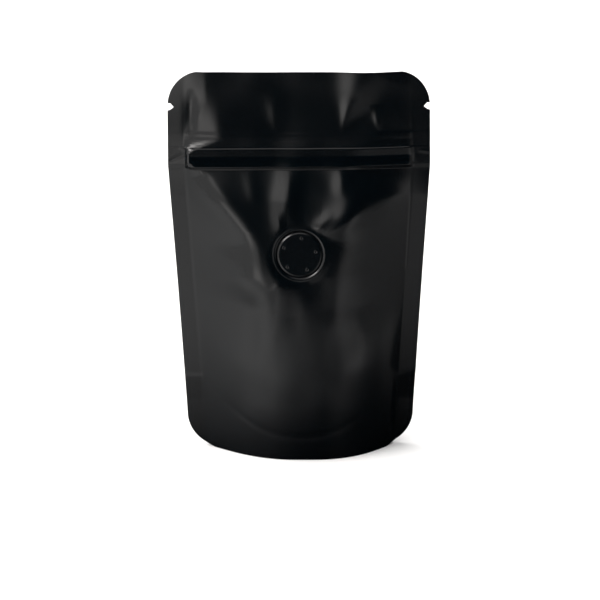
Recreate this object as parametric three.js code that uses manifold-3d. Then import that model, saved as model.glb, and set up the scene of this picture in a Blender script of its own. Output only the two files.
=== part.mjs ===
// Stand-up coffee pouch of matt black film, with a press-to-close zip and a one-way degassing valve.
// Millimetres, +Z up. The front panel faces -Y and the origin is the middle of the footprint, on the floor.
// The pouch is shut and full, so it is one solid: the form that its front, back and base films enclose.

import * as THREE from "three";
import { mergeVertices } from "three/addons/utils/BufferGeometryUtils.js";
import Module from "manifold-3d";

const wasm = await Module();
wasm.setup();

// Outline of the pouch, seen from the front
const FLAT_WIDTH = 100;
const HEIGHT = 147.1;
const SIDE_SEAL = 6.5; // width of the flat seal down each side
const SEAL_THICKNESS = 0.5;
const CORNER_RADIUS = 12.7;
const CORNER_INSET = 12.4; // from the top or bottom edge to the centre of a corner's arc
const DRAW_IN = 7.1; // how far the filling pulls each side edge in at the base
const DRAW_IN_BOW = 0.15; // how much of that comes early, so the side edge bows

// Filling: the depth is measured from the middle plane to the film
const BELLY_DEPTH = 21;
const BELLY_POWER = 3; // how full the shoulders are below the zip
const BASE_TUCK = 2; // how far the base is drawn in under the belly
const BASE_TUCK_TOP = 22;
const SECTION_POWER = 1.25; // 1 is a parabola across the pouch, more leaves the side seals softly
const ZIP_PUFF = 2.2; // how far the zip parts each film from the middle plane

// Shelf: from the valve up, each film is level in the middle and falls straight to the side seals.
// The edge of the level part is a share of the way to the seals, and changes with the height.
const SHELF_START = 38;
const SHELF_FULL = 72;
const SHELF_KEEN = 8; // how tightly the film turns at that edge
const SHELF_EDGES = [
  [40, 0.36],
  [66, 0.44],
  [84, 0.46],
  [111, 0.68],
  [147, 0.93],
];

// Stance: the upper part leans back, and the middle of the top edge stands forward of its ends
const LEAN_START = 92;
const LEAN_BACK = 6.5; // of the top edge
const HEADER_BOW = 1.2;

// Zip: each rail is a ridge of the film right across the pouch
const ZIP_TOP = 124.3;
const ZIP_BOTTOM = 111.5;
const ZIP_RAILS = [
  { z: 122.3, half: 2, rise: 0.4 }, // welded edge of the zip strip
  { z: 117.8, half: 1.8, rise: 0.9 }, // track that presses shut
  { z: 111.9, half: 0.7, rise: 0.5 }, // lower edge of the strip
];

// Tear notches in the side seals
const NOTCH_Z = 133.75;
const NOTCH_HEIGHT = 2.8;
const NOTCH_DEPTH = 2.4;

// Base gusset: its seal is an arc across each panel, and below the arc hangs a thin skirt
const ARC_LOW = 9.3; // height of the arc in the middle
const ARC_RISE = 19; // how much higher it meets the side seals
const PINCH_DEPTH = 0.8;
const PINCH_HALF = 1.8;
const SKIRT_THICKNESS = 0.8;
const GUSSET_SAG = 4.6; // of the base film between the two skirts
const END_SAG = 0.5;
const HOLLOW_END = 32.5; // half length of the hollow under the base
const LEAST_GAP = 0.2; // half width of the hollow where the skirts meet

// Valve: a disc in a round pocket of the front panel, with pin holes through its face
const VALVE_Z = 80.7;
const POCKET_RADIUS = 9.6;
const POCKET_DEPTH = 1.3;
const POCKET_DRAFT = 0.2; // how much smaller the pocket's floor is than its mouth
const DISC_RADIUS = 8.4;
const DISC_THICKNESS = 1;
const DISC_EDGE = 0.25; // rounding of the disc's rim
const PIN_HOLES = 5;
const PIN_CIRCLE = 6.4;
const PIN_RADIUS = 0.35;
const PIN_DEPTH = 0.6;
const PIN_TURN = THREE.MathUtils.degToRad(82); // from +X to the first hole
const FLAT_RADIUS = 10.4; // the film lies flat this far from the valve's axis
const FLAT_BLEND = 16; // and follows the belly from here

// Large folds of the front film: a ridge runs between two points [x, z] and tapers to nothing at both
const FOLDS = [
  { from: [17, 124], to: [20, 152], half: 5, rise: 0.9 },
  { from: [-8.4, 124], to: [-8.6, 142], half: 4, rise: 0.5 },
  { from: [-2, 112], to: [-3, 88], half: 4, rise: 1.1 },
  { from: [20.5, 112], to: [6, 88], half: 4.5, rise: 1.2 },
];

// Mesh
const VALVE_RINGS = [3.2, 6.4, POCKET_RADIUS - POCKET_DRAFT, POCKET_RADIUS, FLAT_RADIUS, FLAT_BLEND];
const RING_REACH = 20; // rows and columns bend into rings round the valve up to here
const OUTER_COLUMNS = 6; // from the last ring to each side seal
const SEAL_COLUMNS = 1; // across each side seal
const SEAL_SHARE = 0.35; // of a side seal's width that is left where a corner cuts it
const HOLLOW_COLUMNS = 18;
const HOLLOW_STEPS = 9; // across the base film, an odd number
const ROUND_STEPS = 40;

const { clamp, lerp, smoothstep } = THREE.MathUtils;
const HALF_WIDTH = FLAT_WIDTH / 2;

/** Half width to the side edge at height z, before the corners are rounded. */
function sideEdge(z) {
  const t = clamp((ZIP_BOTTOM - z) / ZIP_BOTTOM, 0, 1);
  return HALF_WIDTH - DRAW_IN * t * (1 + DRAW_IN_BOW - DRAW_IN_BOW * t);
}

/** Half width of the rounded outline at height z. */
function outline(z) {
  const fromEnd = Math.min(z, HEIGHT - z);
  if (fromEnd >= CORNER_INSET) return sideEdge(z);
  const arcHeight = z < HEIGHT / 2 ? CORNER_INSET : HEIGHT - CORNER_INSET;
  const centre = sideEdge(arcHeight) - CORNER_RADIUS;
  return centre + Math.sqrt(CORNER_RADIUS ** 2 - (z - arcHeight) ** 2);
}

/** Share of the way up the header, from the zip to the top edge. */
function headerShare(z) {
  return clamp((z - ZIP_TOP) / (HEIGHT - ZIP_TOP), 0, 1);
}

/** Half depth of the filling in the middle of the pouch at height z. */
function fillDepth(z) {
  const up = clamp(z / ZIP_BOTTOM, 0, 1);
  const belly = (BELLY_DEPTH - ZIP_PUFF) * (1 - up ** BELLY_POWER);
  const tuck = BASE_TUCK * clamp(1 - z / BASE_TUCK_TOP, 0, 1) ** 2;
  return belly - tuck + ZIP_PUFF * (1 - headerShare(z));
}

/** Edge of the shelf's level part at height z, between the heights that are listed. */
function shelfEdge(z) {
  const next = SHELF_EDGES.findIndex(([height]) => height > z);
  if (next === 0) return SHELF_EDGES[0][1];
  if (next < 0) return SHELF_EDGES.at(-1)[1];
  const [[z0, edge0], [z1, edge1]] = SHELF_EDGES.slice(next - 1, next + 1);
  return lerp(edge0, edge1, (z - z0) / (z1 - z0));
}

/** Share of the full depth at height z and a share s of the way from the middle to either side seal. */
function section(s, z) {
  const share = Math.min(Math.abs(s), 1);
  const belly = (1 - share ** 2) ** SECTION_POWER;
  const fall = (1 - share) / (1 - shelfEdge(z));
  const shelf = fall / (1 + fall ** SHELF_KEEN) ** (1 / SHELF_KEEN);
  return lerp(belly, shelf, smoothstep(z, SHELF_START, SHELF_FULL));
}

/** Height of the gusset seal's arc at x. */
function gussetArc(x) {
  const reach = sideEdge(ARC_LOW + ARC_RISE) - SIDE_SEAL;
  return ARC_LOW + ARC_RISE * (x / reach) ** 2;
}

/** Relief of the zip's rails, a blunt ridge each, at height z. */
function zipRelief(z) {
  return ZIP_RAILS.reduce((sum, rail) => {
    const off = clamp(Math.abs(z - rail.z) / rail.half, 0, 1);
    return sum + rail.rise * (1 - off ** 4);
  }, 0);
}

/** Groove where the gusset is sealed to a panel. */
function pinchRelief(x, z) {
  const off = (z - gussetArc(x)) / PINCH_HALF;
  return -PINCH_DEPTH * Math.exp(-off * off);
}

/** Ridges of the large folds: a bell across each fold, swelling and dying away along it. */
function foldRelief(x, z) {
  return FOLDS.reduce((sum, { from, to, half, rise }) => {
    const along = [to[0] - from[0], to[1] - from[1]];
    const length = Math.hypot(...along);
    const off = [x - from[0], z - from[1]];
    const t = clamp((off[0] * along[0] + off[1] * along[1]) / length ** 2, 0, 1);
    const away = Math.abs(off[0] * along[1] - off[1] * along[0]) / length;
    return sum + rise * Math.sin(Math.PI * t) * Math.exp(-((away / half) ** 2));
  }, 0);
}

/** Depth of a panel's film without its folds. */
function panelDepth(x, z) {
  const inner = sideEdge(z) - SIDE_SEAL;
  const share = section(x / inner, z);
  const held = clamp((1 - Math.abs(x) / inner) * inner, 0, 1); // reliefs end at the side seals
  const relief = zipRelief(z) + pinchRelief(x, z);
  return SEAL_THICKNESS / 2 + fillDepth(z) * share + relief * held;
}

// The valve keeps the film round it flat, in a plane that leans back as the belly does there
const VALVE_SLOPE = (panelDepth(0, VALVE_Z - 1) - panelDepth(0, VALVE_Z + 1)) / 2;
const VALVE_LEAN = Math.atan(VALVE_SLOPE);
const VALVE_DEPTH = panelDepth(0, VALVE_Z);

/** Depth of the front film: the panel with its folds, pressed flat round the valve. */
function frontDepth(x, z) {
  const inner = sideEdge(z) - SIDE_SEAL;
  const free = panelDepth(x, z) + foldRelief(x, z) * Math.sqrt(section(x / inner, z));
  const flat = VALVE_DEPTH + (VALVE_Z - z) * VALVE_SLOPE;
  const radius = Math.hypot(x, (z - VALVE_Z) / Math.cos(VALVE_LEAN));
  return lerp(flat, free, smoothstep(radius, FLAT_RADIUS, FLAT_BLEND));
}

/** The y of the middle plane: back by the square of the height above the lean's start, bowed forward at the top. */
function middlePlane(x, z) {
  const up = clamp((z - LEAN_START) / (HEIGHT - LEAN_START), 0, 1);
  const bow = HEADER_BOW * headerShare(z) ** 1.5 * (1 - (x / HALF_WIDTH) ** 2);
  return LEAN_BACK * up ** 2 - bow;
}

/** Evenly spaced values after `from`, up to and with `to`. */
function steps(from, to, count) {
  return Array.from({ length: count }, (_, i) => lerp(from, to, (i + 1) / count));
}

/** The valve's rings on both sides of a middle, each scaled, from the lowest to the highest. */
function ringPlaces(middle, scale) {
  const rings = VALVE_RINGS.map((ring) => ring * scale);
  return [...rings.toReversed().map((ring) => middle - ring), middle, ...rings.map((ring) => middle + ring)];
}

/** Heights of the mesh's rows: close together at the corners, the gusset's arc, the valve and the zip. */
function rowHeights() {
  const rings = ringPlaces(VALVE_Z, Math.cos(VALVE_LEAN));
  return [
    0,
    ...steps(0, CORNER_INSET, 7),
    ...steps(CORNER_INSET, BASE_TUCK_TOP + PINCH_HALF, 5),
    ...steps(BASE_TUCK_TOP + PINCH_HALF, rings[0], 7).slice(0, -1),
    ...rings,
    ...steps(rings.at(-1), ZIP_BOTTOM - 0.8, 4),
    ...ZIP_RAILS.toReversed().flatMap(({ z, half }) => [-1, -0.6, 0.6, 1].map((k) => z + k * half)),
    ...steps(ZIP_TOP, HEIGHT - CORNER_INSET, 4),
    ...steps(HEIGHT - CORNER_INSET, HEIGHT, 6),
  ];
}

/** The x of every column on the row at height z, from the left edge to the right one. */
function columnPlaces(z) {
  const edge = outline(z);
  const cornerCut = sideEdge(z) - edge;
  const inner = sideEdge(z) - SIDE_SEAL;
  const seal = SIDE_SEAL * lerp(1, SEAL_SHARE, clamp(cornerCut / SIDE_SEAL, 0, 1));
  const inside = Math.min(inner, edge - seal);
  const outer = [...steps(FLAT_BLEND, inside, OUTER_COLUMNS), ...steps(inside, edge, SEAL_COLUMNS)];
  return [...outer.toReversed().map((x) => -x), ...ringPlaces(0, 1), ...outer];
}

/** A point of the front film's grid, moved so that square rings of the grid lie round about the valve. */
function roundValve(x, z) {
  const up = (z - VALVE_Z) / Math.cos(VALVE_LEAN);
  const ring = Math.max(Math.abs(x), Math.abs(up));
  const round = ring === 0 ? 1 : ring / Math.hypot(x, up);
  const scale = lerp(round, 1, smoothstep(ring, FLAT_RADIUS, RING_REACH));
  return { x: x * scale, z: VALVE_Z + (z - VALVE_Z) * scale, ring };
}

/** A vertex of the front film, sunk along the valve's axis where it is in the valve's pocket. */
function frontVertex(columnX, rowZ) {
  const { x, z, ring } = roundValve(columnX, rowZ);
  const sunk = ring < POCKET_RADIUS - POCKET_DRAFT / 2 ? POCKET_DEPTH : 0;
  const y = middlePlane(x, z) - frontDepth(x, z);
  return [x, y + sunk * Math.cos(VALVE_LEAN), z - sunk * Math.sin(VALVE_LEAN)];
}

/** A vertex of the back film. */
function backVertex(x, z) {
  return [x, middlePlane(x, z) + panelDepth(x, z), z];
}

/**
 * Triangles of a grid of vertices, `columns` to a row, whose first vertex has the index `start`.
 * Each cell is split along the diagonal that points to the middle column of the row `middle`.
 */
function gridTriangles(rows, columns, start, middle, flip) {
  const triangles = [];
  for (let j = 0; j + 1 < rows; j++)
    for (let i = 0; i + 1 < columns; i++) {
      const a = start + j * columns + i;
      const [b, c, d] = [a + 1, a + columns + 1, a + columns];
      const rising = i + 0.5 > (columns - 1) / 2 === j >= middle;
      const cell = rising ? [a, b, c, a, c, d] : [a, b, d, b, c, d];
      triangles.push(...(flip ? cell.toReversed() : cell));
    }
  return triangles;
}

/** Triangles of a band between two chains of vertices. */
function bandTriangles(first, second) {
  const triangles = [];
  for (let i = 0; i + 1 < first.length; i++)
    triangles.push(first[i], second[i + 1], first[i + 1], first[i], second[i], second[i + 1]);
  return triangles;
}

/** A solid from vertex positions and triangles. */
function solidFrom(positions, triangles) {
  const mesh = new wasm.Mesh({
    numProp: 3,
    vertProperties: new Float32Array(positions),
    triVerts: new Uint32Array(triangles),
  });
  return new wasm.Manifold(mesh);
}

/** A solid from a closed three.js geometry, moved by a matrix. */
function solidOf(geometry, matrix = new THREE.Matrix4()) {
  const bare = geometry.clone().applyMatrix4(matrix);
  bare.deleteAttribute("normal");
  bare.deleteAttribute("uv");
  const merged = mergeVertices(bare, 1e-4);
  return solidFrom(merged.attributes.position.array, merged.index.array);
}

/** The mesh of a solid, with its name and material. */
function namedMesh(name, solid, material) {
  const { vertProperties, triVerts } = solid.getMesh();
  const geometry = new THREE.BufferGeometry()
    .setAttribute("position", new THREE.BufferAttribute(vertProperties, 3))
    .setIndex(new THREE.BufferAttribute(triVerts, 1));
  geometry.computeVertexNormals();
  const mesh = new THREE.Mesh(geometry, material);
  mesh.name = name;
  return mesh;
}

/** The filled pouch with a plain flat base: a front grid and a back grid joined round their edges. */
function filledPouch() {
  const heights = rowHeights();
  const places = heights.map(columnPlaces);
  const [rows, columns] = [heights.length, places[0].length];
  const front = heights.flatMap((z, j) => places[j].flatMap((x) => frontVertex(x, z)));
  const back = heights.flatMap((z, j) => places[j].flatMap((x) => backVertex(x, z)));
  const middle = heights.indexOf(VALVE_Z);
  const behind = rows * columns;
  const left = heights.map((_, j) => j * columns);
  const right = left.map((k) => k + columns - 1);
  const bottom = places[0].map((_, i) => i);
  const top = bottom.map((k) => k + behind - columns);
  const toBack = (chain) => chain.map((k) => k + behind);
  return solidFrom(
    [...front, ...back],
    [
      ...gridTriangles(rows, columns, 0, middle, false),
      ...gridTriangles(rows, columns, behind, middle, true),
      ...bandTriangles(toBack(left), left),
      ...bandTriangles(right, toBack(right)),
      ...bandTriangles(bottom, toBack(bottom)),
      ...bandTriangles(toBack(top), top),
    ],
  );
}

/** The hollow under the base: inside both skirts, up to the gusset's film, which sags between them. */
function baseHollow() {
  const below = -1;
  const places = [-HOLLOW_END, ...steps(-HOLLOW_END, HOLLOW_END, HOLLOW_COLUMNS)];
  const rings = places.map((x) => {
    const arc = gussetArc(x);
    const open = 1 - (x / HOLLOW_END) ** 6;
    const gap = (z) => LEAST_GAP + open * (panelDepth(x, Math.max(z, 0)) - SKIRT_THICKNESS - LEAST_GAP);
    const wall = [below, ...steps(0, arc, 3)].map((z) => [x, -gap(z), z]);
    const sag = lerp(GUSSET_SAG, END_SAG, (x / HOLLOW_END) ** 2);
    const film = steps(-1, 1, HOLLOW_STEPS)
      .slice(0, -1)
      .map((s) => [x, s * gap(arc), arc - sag * (1 - s * s)]);
    return [...wall, ...film, ...wall.toReversed().map(([px, py, pz]) => [px, -py, pz])];
  });
  const size = rings[0].length;
  const ringChain = (k) => [...Array(size).keys(), 0].map((i) => k * size + i);
  const frontHalf = (k) => ringChain(k).slice(0, size / 2);
  const backHalf = (k) => ringChain(k).slice(size / 2, size).toReversed();
  const skin = places.slice(1).flatMap((_, k) => bandTriangles(ringChain(k), ringChain(k + 1)));
  const last = places.length - 1;
  const caps = [...bandTriangles(backHalf(0), frontHalf(0)), ...bandTriangles(frontHalf(last), backHalf(last))];
  return solidFrom(rings.flat(2), [...skin, ...caps]);
}

/** A tear notch at the left edge: straight above, round below, with its tip towards the middle. */
function tearNotch() {
  const [half, outside, reach] = [NOTCH_HEIGHT / 2, 3, 4];
  const shape = new THREE.Shape()
    .moveTo(-outside, half)
    .lineTo(NOTCH_DEPTH * 0.4, half)
    .lineTo(NOTCH_DEPTH, 0)
    .quadraticCurveTo(NOTCH_DEPTH * 0.5, -half, 0, -half)
    .lineTo(-outside, -half);
  const geometry = new THREE.ExtrudeGeometry(shape, { depth: 2 * reach, bevelEnabled: false, curveSegments: 6 });
  const place = new THREE.Matrix4()
    .makeTranslation(-sideEdge(NOTCH_Z), middlePlane(-HALF_WIDTH, NOTCH_Z) + reach, NOTCH_Z)
    .multiply(new THREE.Matrix4().makeRotationX(Math.PI / 2));
  return solidOf(geometry, place);
}

/** The valve's frame: its origin on the film, and its local +Y along the outward axis. */
function valveFrame() {
  const frame = new THREE.Group();
  frame.position.set(0, -VALVE_DEPTH, VALVE_Z);
  frame.rotation.x = Math.PI - VALVE_LEAN;
  return frame;
}

/** The valve's disc in its own frame, with its face at y = 0 and blind pin holes in the face. */
function valveDisc() {
  const profile = [
    new THREE.Vector2(0, -DISC_THICKNESS),
    new THREE.Vector2(DISC_RADIUS, -DISC_THICKNESS),
    new THREE.Vector2(DISC_RADIUS, -DISC_EDGE),
    new THREE.Vector2(DISC_RADIUS - DISC_EDGE, 0),
    new THREE.Vector2(0, 0),
  ];
  const disc = solidOf(new THREE.LatheGeometry(profile, ROUND_STEPS));
  const pin = new THREE.CylinderGeometry(PIN_RADIUS, PIN_RADIUS, 2 * PIN_DEPTH, 8);
  return Array.from({ length: PIN_HOLES }, (_, i) => {
    const turn = PIN_TURN + (2 * Math.PI * i) / PIN_HOLES;
    return new THREE.Matrix4().makeTranslation(PIN_CIRCLE * Math.cos(turn), 0, -PIN_CIRCLE * Math.sin(turn));
  }).reduce((solid, place) => solid.subtract(solidOf(pin, place)), disc);
}

const film = new THREE.MeshStandardMaterial({ color: 0x0b0b0c, roughness: 0.42, metalness: 0 });
const valveFilm = new THREE.MeshStandardMaterial({ color: 0x08080a, roughness: 0.35, metalness: 0 });

const notch = tearNotch();
const pouch = filledPouch()
  .subtract(baseHollow())
  .subtract(notch)
  .subtract(notch.mirror([1, 0, 0]));

const valve = valveFrame();
valve.add(namedMesh("degassing_valve", valveDisc(), valveFilm));

const coffeePouch = new THREE.Group();
coffeePouch.add(namedMesh("pouch", pouch, film), valve);

export default coffeePouch;
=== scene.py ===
"""Dresses a stand-up coffee pouch: satin black film with pressed seals, a zip, a valve and a gusset.

Shapes are in millimetres until their mesh is made. +Z is up, the front film faces -Y, and the origin is
the middle of the footprint. A film is a grid of columns, which run up the pouch, and rows across it.
"""

import logging
import math
from dataclasses import dataclass, field
from enum import Enum
from functools import cached_property

import bpy
import numpy as np
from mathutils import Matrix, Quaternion, Vector


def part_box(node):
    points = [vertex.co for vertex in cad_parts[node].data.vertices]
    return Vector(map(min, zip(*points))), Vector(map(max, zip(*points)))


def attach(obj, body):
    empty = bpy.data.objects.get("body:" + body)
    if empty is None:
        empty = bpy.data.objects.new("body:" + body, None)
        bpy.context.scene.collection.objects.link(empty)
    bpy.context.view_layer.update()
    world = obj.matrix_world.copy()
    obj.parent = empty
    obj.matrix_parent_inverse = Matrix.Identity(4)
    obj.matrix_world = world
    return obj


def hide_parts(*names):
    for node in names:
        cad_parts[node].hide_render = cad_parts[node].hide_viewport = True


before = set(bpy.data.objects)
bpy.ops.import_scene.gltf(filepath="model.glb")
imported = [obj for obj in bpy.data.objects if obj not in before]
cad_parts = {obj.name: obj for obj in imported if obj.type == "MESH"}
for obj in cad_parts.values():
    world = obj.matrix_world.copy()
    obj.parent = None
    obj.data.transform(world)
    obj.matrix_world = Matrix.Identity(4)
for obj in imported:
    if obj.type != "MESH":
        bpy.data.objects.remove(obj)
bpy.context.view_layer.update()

MM = 0.001
TINY = 1e-9
HALF_TURN = 180.0
BODY = "root"
ZIP_BOTTOM = 111.5
SOFT_SAMPLES = 5
GRAIN_DETAIL = 2.0
PATCH_DETAIL = 3.0
PATCHES_PER_METRE = 70.0
Array = np.ndarray
Pair = tuple[float, float]
Triple = tuple[float, float, float]
Values = tuple[float, ...]
Names = tuple[str, ...]
Piece = bpy.types.Object
Node = bpy.types.Node
Tree = bpy.types.NodeTree
Socket = bpy.types.NodeSocket
Inputs = dict[str | int, object]
log = logging.getLogger("pouch")


class Slot(Enum):
    """Material slots."""

    FILM = "film"
    VALVE = "valve"


class Mask(Enum):
    """Vertex masks that the finishes read."""

    SEAL = "seal"
    KNURL = "knurl"
    TAUT = "taut"


def unit(x: Array) -> Array:
    """Clips to the range from 0 to 1."""
    return np.clip(x, 0.0, 1.0)


def smoothstep(x: Array, low: float, high: float) -> Array:
    """Eases from 0 at low to 1 at high: 3t^2 - 2t^3 of the share t of the way between them."""
    t = unit((x - low) / (high - low))
    return t * t * (3.0 - 2.0 * t)


def bell(x: Array) -> Array:
    """The bell curve exp(-x^2)."""
    return np.exp(-np.square(x))


def soft_line(z: Array, places: Values, values: Values, soft: float) -> Array:
    """The line through values at rising places, as its mean within soft of z, which rounds its corners."""
    shifts = np.linspace(-soft, soft, SOFT_SAMPLES)
    return sum(np.interp(z + shift, places, values) for shift in shifts) / len(shifts)


def link(made: Piece) -> Piece:
    """Puts a new object into the scene."""
    bpy.context.scene.collection.objects.link(made)
    return made


def stretches(stops: Values, steps: Values) -> Array:
    """Even places from stop to stop, about one step apart.

    Args:
        stops: Where the stretches start and end.
        steps: The step in each stretch.

    Returns:
        The places, with every stop but the first.
    """
    places = []
    for start, stop, step in zip(stops, stops[1:], steps):
        count = max(1, round(abs(stop - start) / step))
        places.append(np.linspace(start, stop, count + 1)[1:])
    return np.concatenate(places)


@dataclass(frozen=True)
class TearNotch:
    """A nick in each side seal to start a tear: straight above, rounded below, pointed inwards."""

    z: float = 133.75
    height: float = 2.8
    depth: float = 2.4
    shoulder: float = 0.45
    round_power: float = 0.6

    def cut(self, z: Array) -> Array:
        """How far the notch reaches in from the side edge.

        Above its tip the cut falls straight to a shoulder, and below it by a power of the height.

        Args:
            z: Heights.

        Returns:
            The depth of the cut at each height, 0 outside the notch.
        """
        off = (z - self.z) / (self.height / 2.0)
        above = self.depth * (1.0 - off * (1.0 - self.shoulder))
        below = self.depth * unit(1.0 + off) ** self.round_power
        return np.where(np.abs(off) > 1.0, 0.0, np.where(off >= 0.0, above, below))


@dataclass(frozen=True)
class Outline:
    """The pouch's outline, seen from the front, with its side seals."""

    width: float
    height: float
    side_seal: float = 6.5
    seal_thickness: float = 0.5
    corner_radius: float = 13.3
    corner_inset: float = 13.0
    draw_in: float = 7.1
    draw_in_bow: float = 0.15
    draw_in_top: float = ZIP_BOTTOM
    notch: TearNotch = TearNotch()

    @classmethod
    def of_node(cls, node: str) -> "Outline":
        """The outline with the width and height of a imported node."""
        low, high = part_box(node)
        return cls(width=(high.x - low.x) / MM, height=(high.z - low.z) / MM)

    def side(self, z: Array) -> Array:
        """Half width to the side edge, which the filling draws in towards the base."""
        t = unit((self.draw_in_top - z) / self.draw_in_top)
        return self.width / 2.0 - self.draw_in * t * (1.0 + self.draw_in_bow - self.draw_in_bow * t)

    def inner(self, z: Array) -> Array:
        """Half width to the inner line of the side seals."""
        return self.side(z) - self.side_seal

    def edge(self, z: Array) -> Array:
        """Half width of the cut film: the side edge, with an arc at each corner and the tear notches."""
        centre = np.clip(z, self.corner_inset, self.height - self.corner_inset)
        return self.side(centre) + self.corner_arc(z - centre) - self.notch.cut(z)

    def corner_arc(self, past: Array) -> Array:
        """What an arc adds to the half width, by how far a height is past the arc's centre."""
        rise = np.minimum(np.abs(past), self.corner_inset)
        return np.sqrt(self.corner_radius**2 - rise**2) - self.corner_radius


@dataclass(frozen=True)
class Fold:
    """A ridge or, with a negative rise, a furrow of the film between two points (x, z)."""

    start: Pair
    end: Pair
    rise: float
    half: Pair
    grows: bool = False
    bow: float = 0.0
    skew: float = 1.0

    def relief(self, x: Array, z: Array) -> Array:
        """Height of the fold: a bell across its line, as wide as half at each end, times its share along.

        The line bends aside by a parabola, by bow in its middle. On the right of a fold that runs down,
        the bell is skew times as wide.

        Args:
            x: Places across.
            z: Heights.

        Returns:
            How far the fold lifts the film.
        """
        (x0, z0), (x1, z1) = self.start, self.end
        dx, dz = x1 - x0, z1 - z0
        length = math.hypot(dx, dz)
        t = ((x - x0) * dx + (z - z0) * dz) / length**2
        way = unit(t)
        half = self.half[0] + (self.half[1] - self.half[0]) * way
        aside = ((z - z0) * dx - (x - x0) * dz) / length - self.bow * 4.0 * way * (1.0 - way)
        half = half * np.where(aside > 0.0, self.skew, 1.0)
        return self.rise * bell(aside / half) * self.along(t)

    def along(self, t: Array) -> Array:
        """Share of the rise at a share t of the way: an ease if it grows, else half a sine wave."""
        return smoothstep(t, 0.0, 1.0) if self.grows else np.sin(np.pi * unit(t))


def reliefs(folds: tuple[Fold, ...], x: Array, z: Array) -> Array:
    """Sum of the reliefs of some folds."""
    return sum((fold.relief(x, z) for fold in folds), np.zeros_like(x))


@dataclass(frozen=True)
class Slack:
    """Soft waves of loose film all over a panel."""

    seed: int
    waves: int = 10
    lengths: Pair = (14.0, 45.0)
    steepness: float = 0.002

    def relief(self, x: Array, z: Array) -> Array:
        """Sum of sine waves in random directions, each as high as its length times the steepness.

        Args:
            x: Places across.
            z: Heights.

        Returns:
            How far the waves lift the film.
        """
        dice = np.random.default_rng(self.seed)
        length = dice.uniform(*self.lengths, self.waves)
        turn, phase = dice.uniform(0.0, 2.0 * np.pi, (2, self.waves))
        total = np.zeros_like(x)
        for wave, angle, start in zip(length, turn, phase):
            along = x * math.cos(angle) + z * math.sin(angle)
            total += self.steepness * wave * np.sin(2.0 * np.pi * along / wave + start)
        return total


@dataclass(frozen=True)
class Panel:
    """What is particular to one panel's film: folds, marks that also cross its seals, and slack."""

    folds: tuple[Fold, ...] = ()
    marks: tuple[Fold, ...] = ()
    slack: Slack = Slack(seed=1, waves=0)


BARE = Panel()
FRONT = Panel(
    folds=(
        # Folds that run from the zip to the valve
        Fold((-1.5, 113.4), (-6.0, 85.5), 1.3, (5.4, 5.0), skew=0.5),
        Fold((-5.4, 99.0), (-4.4, 86.0), -0.7, (1.3, 1.8)),
        Fold((-2.6, 97.0), (-2.0, 87.0), 0.22, (0.9, 0.8)),
        Fold((17.0, 113.4), (9.0, 87.0), 2.0, (8.0, 7.0), bow=8.8, skew=0.9),
        Fold((13.0, 95.3), (4.0, 88.2), 0.4, (2.2, 1.6)),
        Fold((17.6, 113.6), (15.6, 101.0), 0.4, (2.8, 2.8)),
        Fold((-19.5, 112.6), (-16.5, 98.0), 0.22, (3.0, 2.4)),
        # Creases below the valve
        Fold((-5.6, 70.6), (-11.0, 67.4), 0.16, (1.0, 1.3)),
        Fold((1.6, 71.5), (2.2, 46.0), 0.45, (2.0, 3.2)),
        Fold((-6.2, 69.5), (-7.4, 48.0), 0.35, (1.7, 2.8)),
        Fold((-4.5, 81.0), (-7.0, 58.0), 0.8, (7.5, 5.0)),
        Fold((10.4, 72.0), (10.8, 52.0), -0.25, (2.4, 3.4)),
        # Long soft furrows down the belly
        Fold((-15.5, 76.0), (-21.5, 14.0), -0.6, (2.6, 3.8)),
        Fold((11.0, 62.0), (12.5, 8.0), -0.3, (4.0, 4.5)),
        # The bulge that flattens the belly's right side
        Fold((30.5, 76.0), (30.5, 4.0), 3.6, (8.5, 8.5)),
    ),
    marks=(
        # The fold beside the left seal above the zip, and the crushed ends of the zip
        Fold((-41.2, 121.5), (-40.8, 141.0), -0.53, (1.9, 1.9)),
        Fold((-51.0, 113.0), (-42.0, 116.6), -0.35, (0.6, 0.5)),
        Fold((-45.0, 118.6), (-42.0, 116.4), 0.3, (0.6, 0.8)),
        Fold((43.0, 118.5), (44.2, 112.5), 0.25, (0.5, 0.5)),
        Fold((46.0, 117.2), (51.0, 116.6), 0.2, (0.5, 0.7)),
    ),
    slack=Slack(seed=5),
)
BACK = Panel(
    folds=(
        Fold((-12.0, 112.0), (-4.0, 66.0), 0.9, (4.0, 5.0)),
        Fold((15.0, 112.0), (6.0, 72.0), 0.9, (4.5, 5.0)),
        Fold((-17.0, 66.0), (-20.0, 12.0), -0.35, (3.0, 4.0)),
    ),
    slack=Slack(seed=9),
)
HEADER_DARTS = (
    Fold((17.0, 124.6), (26.0, 147.5), 1.75, (1.2, 10.0), grows=True),
    Fold((16.6, 124.4), (19.6, 138.0), 0.28, (0.9, 3.0)),
    Fold((30.8, 124.4), (29.4, 135.0), 0.33, (0.7, 2.2)),
    Fold((-8.6, 124.4), (-9.4, 142.0), 0.35, (1.8, 4.5)),
)


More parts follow.
